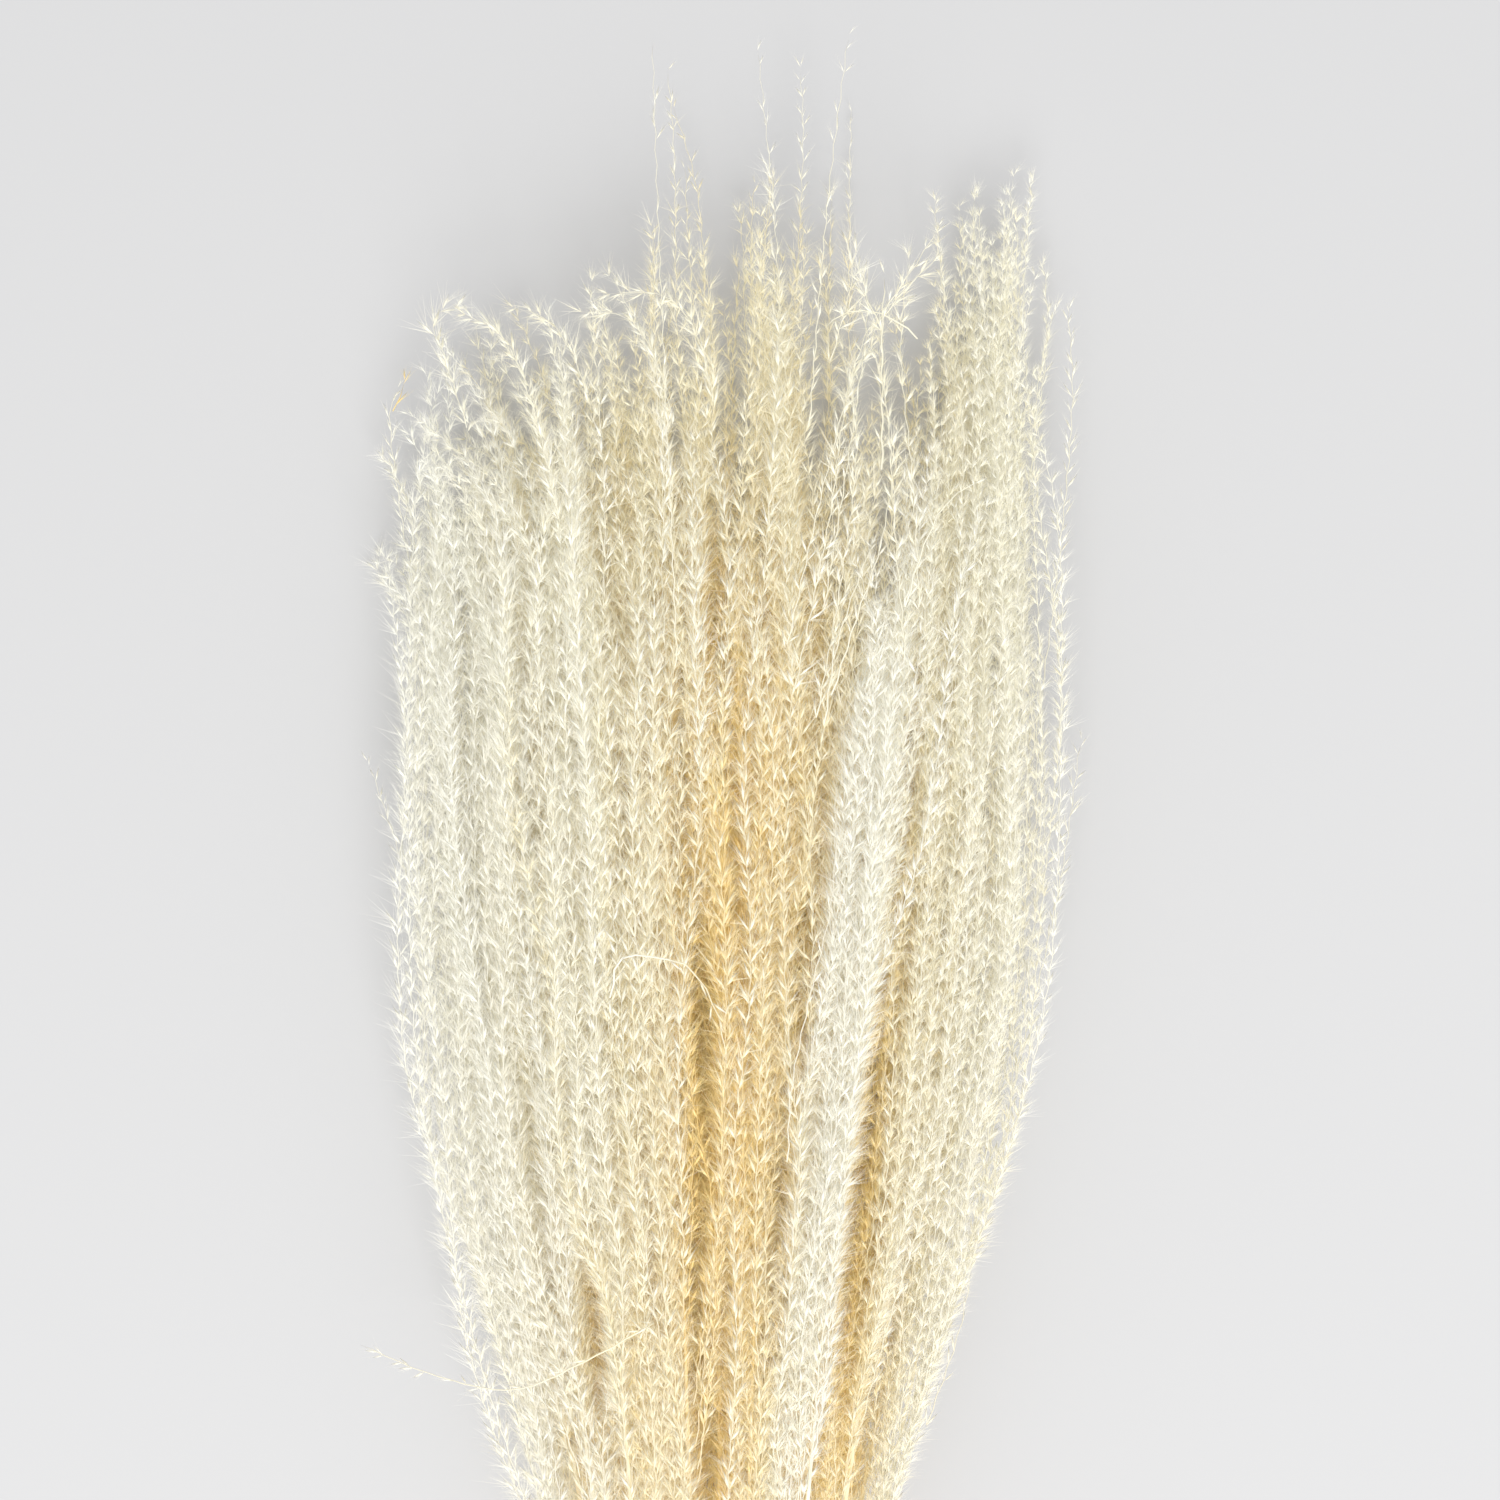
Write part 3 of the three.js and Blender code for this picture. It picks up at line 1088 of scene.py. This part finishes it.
PLUME_TRAITS: dict[int, dict[str, Any]] = {
    5: {"lean": 0.03},
    10: {"lean": 0.045, "bleach": Bleach.WHITE},
    16: {"bleach": Bleach.WHITE},
    2: {"reach": 0.97},
    21: {"lean": -0.03},
    22: {"lean": -0.03, "reach": 0.95},
    3: {"bleach": Bleach.HONEY, "gather": 0.5, "raceme_count": 17},
    6: {"raceme_count": 17},
    7: {"bleach": Bleach.HONEY, "gather": 0.3, "raceme_count": 16},
    8: {"bleach": Bleach.CREAM, "raceme_count": 16},
    12: {"bleach": Bleach.CREAM, "gather": 0.2, "reach": 0.96, "raceme_count": 17},
    13: {"bleach": Bleach.HONEY, "gather": 0.5, "raceme_count": 17},
    18: {"bleach": Bleach.HONEY, "gather": 0.3},
    19: {"bleach": Bleach.CREAM, "gather": 0.4, "lean": -0.02},
    23: {"bleach": Bleach.CREAM, "gather": 0.4},
    4: {"lean": 0.03, "gather": 0.6, "point": 0.8, "raceme_count": 22, "droop": 1 * MM},
    9: {"lean": 0.02, "gather": 0.6, "point": 1.0, "raceme_count": 28, "droop": 1 * MM},
    14: {"lean": 0.05, "raceme_count": 16},
    15: {"lean": -0.01, "gather": 0.6, "point": 1.0, "raceme_count": 29, "droop": 1 * MM},
    20: {"lean": 0.05, "gather": 0.55, "point": 0.8, "raceme_count": 26, "droop": 1 * MM},
    24: {"lean": 0.1, "bleach": Bleach.WHITE, "spread": (0.95, 1.1)},
}


# ---- Culms and band ---------------------------------------------------------------------


@dataclass
class Culm:
    """A straw stem with swollen joints and a square cut end."""

    number: int
    spine: Spine
    sides: int = 14
    rings: int = 56
    joint_gap: float = 118 * MM
    joint_length: float = 2.4 * MM
    joint_swell: float = 0.13
    plain_top: float = 20 * MM
    rim: float = 0.35 * MM
    pith_step: float = 0.1 * MM
    pith_depth: float = 0.5 * MM

    def build(self, material: bpy.types.Material) -> None:
        """Makes the stem and puts it in place of its CAD node."""
        name = f"stem_{self.number:02d}"
        chance = random.Random(STEM_SEED + self.number)
        low, high = self.spine.y[0], self.spine.y[-1]
        first = low + chance.uniform(0.15, 0.85) * self.joint_gap
        joints = np.arange(first, high - self.plain_top, self.joint_gap)
        beside = [y + d * self.joint_length for y in joints for d in (-1.5, -0.6, 0.0, 0.6, 1.5)]
        y = np.unique(np.concatenate([np.linspace(low, high, self.rings), beside]))
        y = y[(y >= low) & (y <= high)]
        near = np.zeros(len(y))
        for joint in joints:
            near = np.maximum(near, np.exp(-(((y - joint) / self.joint_length) ** 2)))
        points = self.spine.centre(y)
        widths = 2 * np.interp(y, self.spine.y, self.spine.half_x) * (1 + self.joint_swell * near)
        bm = bmesh.new()
        self._sweep(bm, points, widths)
        mark = bm.verts.layers.float.new("joint")
        for vert in bm.verts:
            vert[mark] = float(np.interp(vert.co.y, y, near))
        self._unwrap(bm)
        install(mesh_from(bm, name), f"{name}_culm", name, material)

    def _sweep(self, bm: bmesh.types.BMesh, points: np.ndarray, widths: np.ndarray) -> None:
        """Extrudes a round section along points, with a cut rim and a sunken pith below."""
        _, edges = sweep_thread(bm, points, widths, self.sides)
        bmesh.ops.contextual_create(bm, geom=edges)
        for face in bm.faces:
            face.smooth = len(face.verts) == 4
        ends = [f for f in bm.faces if len(f.verts) > 4]
        for inward, depth in ((self.rim, 0.0), (self.pith_step, -self.pith_depth)):
            bmesh.ops.inset_region(bm, faces=ends, thickness=inward, depth=depth, use_even_offset=True)
        bmesh.ops.recalc_face_normals(bm, faces=bm.faces)

    def _unwrap(self, bm: bmesh.types.BMesh) -> None:
        """Lays the wall out as a rectangle and the ends as small discs beside it."""
        layer = bm.loops.layers.uv.new(PALETTE_MAP)
        low, high = self.spine.y[0], self.spine.y[-1]
        for face in bm.faces:
            wall = abs(face.normal.y) < 0.7
            turns = []
            for corner in face.loops:
                off = Vector(corner.vert.co) - Vector(self.spine.centre(corner.vert.co.y))
                share = (corner.vert.co.y - low) / (high - low)
                if wall:
                    turns.append((math.atan2(off.x, off.z) / math.tau + 0.5, 0.06 + 0.93 * share))
                else:
                    turns.append((0.1 + 8.0 * off.x + 0.5 * (share > 0.5), 0.025 + 8.0 * off.z))
            wrap = wall and max(u for u, _ in turns) - min(u for u, _ in turns) > 0.5
            for corner, (u, v) in zip(face.loops, turns):
                corner[layer].uv = (0.96 * (u + (wrap and u < 0.5)), v)


@dataclass
class ElasticBand:
    """A rubber band wound a few times round the stems, stretched over the outermost ones."""

    spines: Sequence[Spine]
    turns: int = 3
    strand: float = 1.7 * MM
    lie: float = 1.95 * MM
    clearance: float = 0.1 * MM
    sides: int = 10
    samples: int = 120

    def _hull(self, y: float, clear: float) -> np.ndarray:
        """The line at y that a stretched thread takes round all the stems."""
        centres = np.array([s.centre(y) for s in self.spines])[:, [0, 2]]
        radius = max(float(np.interp(y, s.y, s.half_x)) for s in self.spines) + clear
        angles = np.linspace(0.0, math.tau, self.samples, endpoint=False)
        out = np.stack([np.cos(angles), np.sin(angles)], axis=1)
        support = (centres @ out.T).max(axis=0) + radius
        slope = (np.roll(support, -1) - np.roll(support, 1)) / (2 * math.tau / self.samples)
        tangent = np.stack([-np.sin(angles), np.cos(angles)], axis=1)
        flat = support[:, None] * out + slope[:, None] * tangent
        return np.stack([flat[:, 0], np.full(self.samples, y), flat[:, 1]], axis=1)

    def build(self, material: bpy.types.Material) -> None:
        """Makes the band and puts it in place of its CAD node."""
        low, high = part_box("elastic_band")
        middle = (low[1] + high[1]) / 2
        bm = bmesh.new()
        for turn in range(self.turns):
            y = middle + (turn - (self.turns - 1) / 2) * self.lie
            self._sweep(bm, self._hull(y, self.strand / 2 + self.clearance))
        bmesh.ops.recalc_face_normals(bm, faces=bm.faces)
        for face in bm.faces:
            face.smooth = True
        install(mesh_from(bm, "elastic_band"), "elastic_band_turns", "elastic_band", material)

    def _sweep(self, bm: bmesh.types.BMesh, loop: np.ndarray) -> None:
        """Extrudes a round strand along a closed line and joins its ends."""
        before = Matrix.Identity(4)
        ring = bmesh.ops.create_circle(bm, segments=self.sides, radius=self.strand / 2)["verts"]
        edges = list({e for v in ring for e in v.link_edges})
        first_edges = edges
        for k, point in enumerate(loop):
            step = loop[(k + 1) % len(loop)] - loop[k - 1]
            forward = Vector(step).normalized()
            along_y = Vector((0, 1, 0))
            turn = Matrix((along_y.cross(forward), along_y, forward)).transposed().to_4x4()
            place = Matrix.Translation(Vector(point)) @ turn
            if k:
                ring, edges = grow_ring(bm, edges)
            bmesh.ops.transform(bm, matrix=place @ before.inverted(), verts=ring)
            before = place
        bmesh.ops.bridge_loops(bm, edges=[*first_edges, *edges])


# ---- Studio -----------------------------------------------------------------------------


@dataclass
class Studio:
    """The table, the light and the camera straight above."""

    view_width: float = 420 * MM
    view_centre: tuple[float, float, float] = (7.8 * MM, 151.2 * MM, 30 * MM)
    lens: float = 85.0
    table_size: float = 40.0
    gamma: float = 1.35
    sky: float = 0.85
    key_power: float = 131.0
    key_place: tuple[float, float, float] = (0.2, -1.85, 2.3)
    key_size: float = 1.9

    def build(self) -> None:
        """Sets everything up."""
        self._table()
        self._light()
        self._camera()

    def _table(self) -> None:
        """A plain flat table top at z = 0."""
        bm = bmesh.new()
        bmesh.ops.create_grid(bm, x_segments=1, y_segments=1, size=self.table_size / 2)
        mesh = mesh_from(bm, "table")
        mesh.materials.append(PalePaint().material())
        linked("table", mesh)

    def _light(self) -> None:
        """White surroundings and one large soft light from the stems' side."""
        world = bpy.data.worlds.new("studio")
        world.use_nodes = True
        background = world.node_tree.nodes["Background"]
        background.inputs[0].default_value = (1.0, 1.0, 1.0, 1.0)
        background.inputs[1].default_value = self.sky
        bpy.context.scene.world = world
        lamp = bpy.data.lights.new("key", "AREA")
        lamp.energy = self.key_power
        lamp.size = self.key_size
        light = linked("key", lamp)
        light.location = self.key_place
        aim = Vector(self.view_centre) - Vector(self.key_place)
        light.rotation_euler = aim.to_track_quat("-Z", "Y").to_euler()
        bpy.context.scene.view_settings.view_transform = "Standard"
        bpy.context.scene.view_settings.gamma = self.gamma

    def _camera(self) -> None:
        """A camera that looks straight down, with the tips at the top of the frame."""
        data = bpy.data.cameras.new("camera")
        data.lens = self.lens
        camera = linked("camera", data)
        x, y, z = self.view_centre
        camera.location = (x, y, z + self.view_width * self.lens / data.sensor_width)
        bpy.context.scene.camera = camera


# ---- Assembly ---------------------------------------------------------------------------


def stalk_numbers() -> list[int]:
    """The numbers of the frame's stalks, in order."""
    return sorted(int(name.split("_")[1]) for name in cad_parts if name.startswith("plume_"))


def main() -> None:
    """Builds the studio, then every piece of the bunch."""
    logging.basicConfig(level=logging.INFO, format="%(name)s %(message)s")
    Studio().build()
    numbers = stalk_numbers()
    spines = {n: Spine.of_node(f"plume_{n:02d}") for n in numbers}
    tone = Tone(Dome(list(spines.values())))
    tufts = TuftBox()
    grass = SilkyGrass().material()
    for number in numbers:
        traits = PLUME_TRAITS.get(number, {})
        plume = Plume(number, spines[number], strays=STRAYS.get(number, ()), **traits)
        plume.build(tufts, tone, grass)
    straw = Straw().material()
    stems = [Culm(n, Spine.of_node(f"stem_{n:02d}")) for n in numbers]
    for stem in stems:
        stem.build(straw)
    ElasticBand([stem.spine for stem in stems]).build(NaturalRubber().material())


if __name__ == "__main__":
    main()
